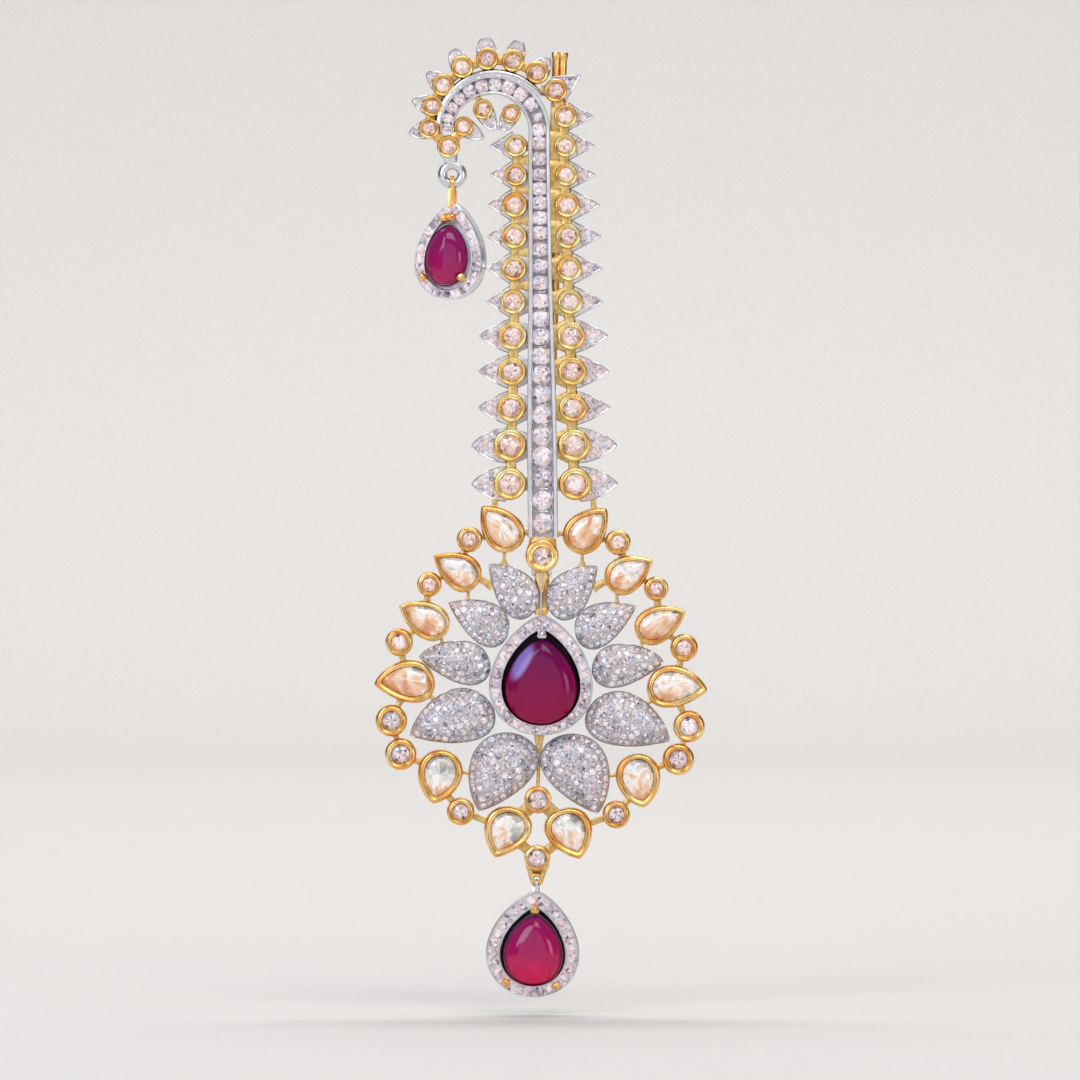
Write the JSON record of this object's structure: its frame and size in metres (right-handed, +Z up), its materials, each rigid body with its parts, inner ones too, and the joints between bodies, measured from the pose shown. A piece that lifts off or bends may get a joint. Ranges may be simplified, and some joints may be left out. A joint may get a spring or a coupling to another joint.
{
  "type": "turban ornament (kalgi)",
  "caption": "Upright turban ornament: flower of pavé petals round a pear ruby, a stem of leaf bezels that ends in a crook, and two hanging ruby drops.",
  "frame": {"origin": "middle of the flower's flat back, behind the centre stone, where the ornament rests against the turban", "axes": "+X to the viewer's right, +Z up the stem towards the crook, -Y out of the front towards the viewer"},
  "size_m": [0.0467, 0.0072, 0.1344],
  "materials": {
    "yellow_gold": "polished yellow gold, warm, with orange shadows",
    "white_gold": "rhodium plated white gold set with pavé diamonds",
    "diamond": "round cut diamond, clear with pink sparkle",
    "polki": "uncut flat diamond over foil, milky and peach",
    "ruby": "smooth domed ruby, deep crimson to magenta"
  },
  "bodies": {
    "ornament": {"leaf_row_right": "yellow_gold", "leaf_row_left": "yellow_gold", "leaf_row_crook": "yellow_gold", "leaf_row_inner": "yellow_gold", "foot_bezel": "yellow_gold", "outer_gallery": "yellow_gold", "plume_tube": "yellow_gold", "stem_channel": "white_gold", "centre_setting": "white_gold", "petal_a_left": "white_gold", "petal_b_left": "white_gold", "petal_c_left": "white_gold", "petal_d_left": "white_gold", "petal_e_left": "white_gold", "polki_1_left": "polki", "diamond_1_left": "diamond", "polki_2_left": "polki", "diamond_2_left": "diamond", "polki_3_left": "polki", "diamond_3_left": "diamond", "polki_4_left": "polki", "diamond_4_left": "diamond", "polki_5_left": "polki", "diamond_5_left": "diamond", "polki_6_left": "polki", "diamond_6_left": "diamond", "petal_a_right": "white_gold", "petal_b_right": "white_gold", "petal_c_right": "white_gold", "petal_d_right": "white_gold", "petal_e_right": "white_gold", "polki_1_right": "polki", "diamond_1_right": "diamond", "polki_2_right": "polki", "diamond_2_right": "diamond", "polki_3_right": "polki", "diamond_3_right": "diamond", "polki_4_right": "polki", "diamond_4_right": "diamond", "polki_5_right": "polki", "diamond_5_right": "diamond", "polki_6_right": "polki", "diamond_6_right": "diamond", "diamond_7_middle": "diamond", "diamond_8_middle": "diamond", "centre_ruby": "ruby"},
    "hook_drop": {"hook_drop_setting": "white_gold", "hook_drop_ruby": "ruby"},
    "low_drop": {"low_drop_setting": "white_gold", "low_drop_ruby": "ruby"}
  },
  "joints": [
    {"name": "hook_drop_swing", "type": "hinge", "parent": "ornament", "child": "hook_drop", "pos_m": [-0.01243, -0.0012, 0.06944], "axis": [1, 0, 0], "range_deg": [-75, 75]},
    {"name": "low_drop_swing", "type": "hinge", "parent": "ornament", "child": "low_drop", "pos_m": [-0.00062, -0.0012, -0.02863], "axis": [1, 0, 0], "range_deg": [-75, 75]}
  ]
}
